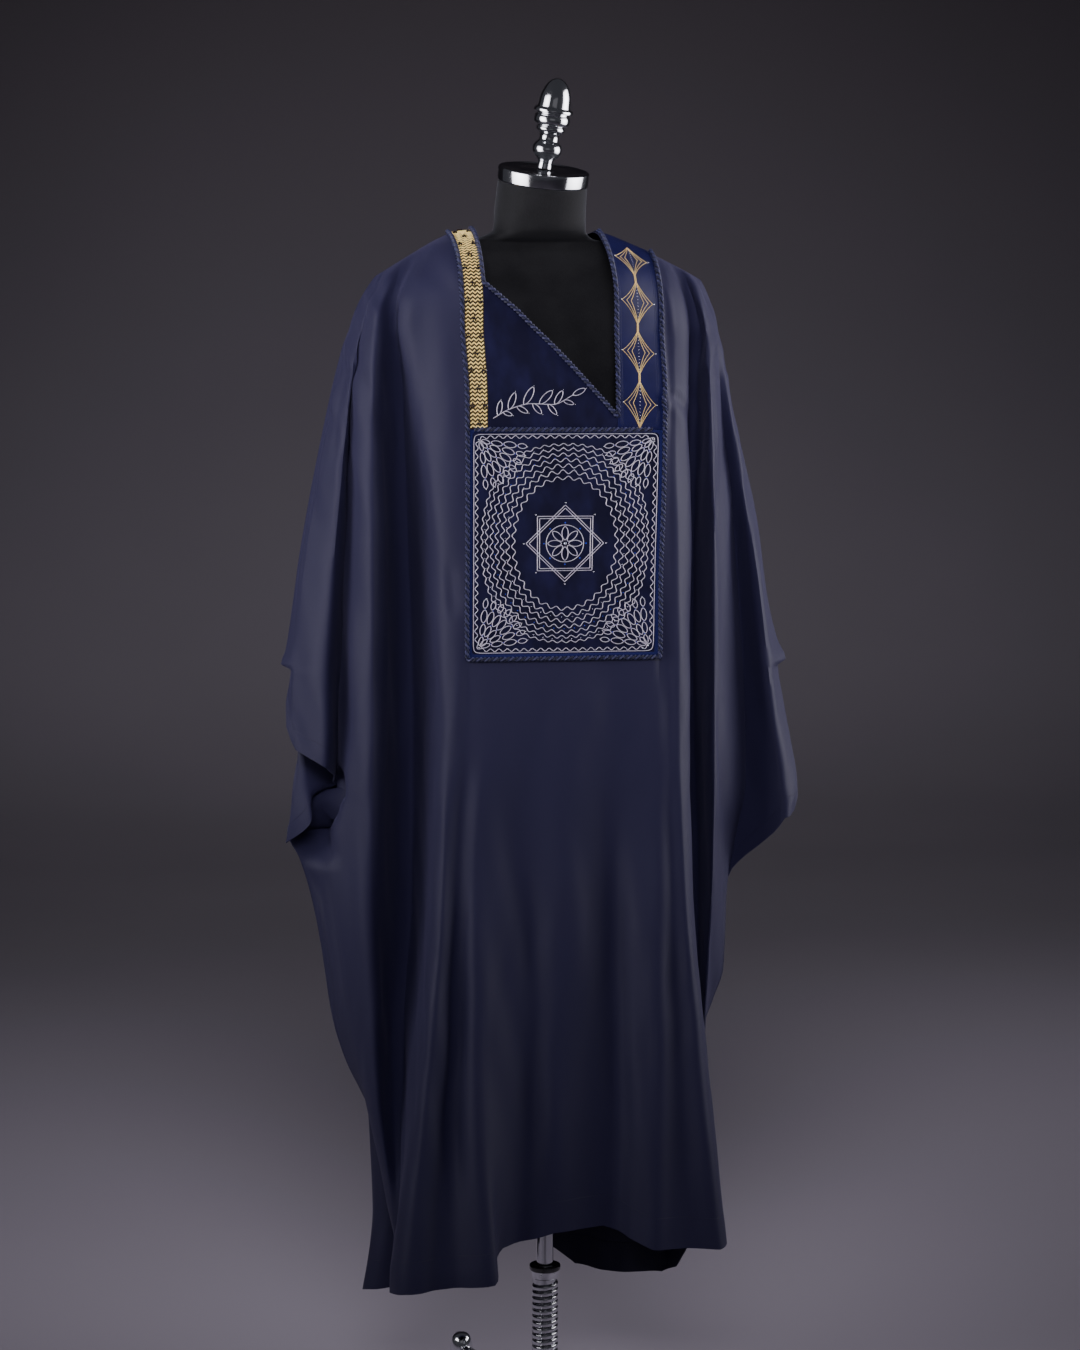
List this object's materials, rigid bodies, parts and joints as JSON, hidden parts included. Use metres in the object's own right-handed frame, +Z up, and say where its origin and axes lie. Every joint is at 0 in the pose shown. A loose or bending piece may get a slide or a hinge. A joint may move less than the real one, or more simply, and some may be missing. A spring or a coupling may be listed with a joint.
{
  "type": "grand boubou robe on a dress form",
  "caption": "Wide-sleeved V-neck grand boubou robe with an embroidered chest panel, draped on a limbless dress form with a chrome pole and tripod base.",
  "frame": {"origin": "on the floor, under the middle of the part's bounding box", "axes": "+Z up along the stand's pole; the robe's front faces -Y; +X to the right of someone who looks at the front"},
  "size_m": [0.7002, 0.4416, 1.8197],
  "materials": {
    "navy_suiting": "smooth heavy suiting with a soft sheen",
    "dark_velvet": "very dark navy velvet",
    "royal_braid": "royal blue woven braid",
    "gold_braid": "metallic gold woven braid",
    "navy_cord": "twisted navy cord",
    "black_jersey": "matt black jersey cover",
    "chrome": "polished chrome plate",
    "black_enamel": "glossy black ring",
    "black_rubber": "matt black rubber"
  },
  "bodies": {
    "stand": {"collar": "black_enamel", "column": "chrome", "foot_1": "chrome", "foot_2": "chrome", "foot_3": "chrome", "foot_pad_1": "black_rubber", "foot_pad_2": "black_rubber", "foot_pad_3": "black_rubber", "hub": "chrome", "leg_1": "chrome", "leg_2": "chrome", "leg_3": "chrome", "spring": "chrome"},
    "pole": {"pole": "chrome"},
    "dress_form": {"border_cord": "navy_cord", "finial": "chrome", "form_torso": "black_jersey", "gold_strip": "gold_braid", "neck_cap": "chrome", "neck_cord": "navy_cord", "neck_plaque": "dark_velvet", "robe_back": "navy_suiting", "robe_front": "navy_suiting", "shoulder_strap": "royal_braid", "square_panel": "dark_velvet", "yoke_cord": "navy_cord"}
  },
  "joints": [
    {"name": "height", "type": "slide", "parent": "stand", "child": "pole", "axis": [0, 0, 1], "range_m": [-0.025, 0.07]},
    {"name": "turn", "type": "hinge", "parent": "pole", "child": "dress_form", "pos_m": [0.00566, -0.01649, 0.8], "axis": [0, 0, 1], "continuous": true}
  ]
}
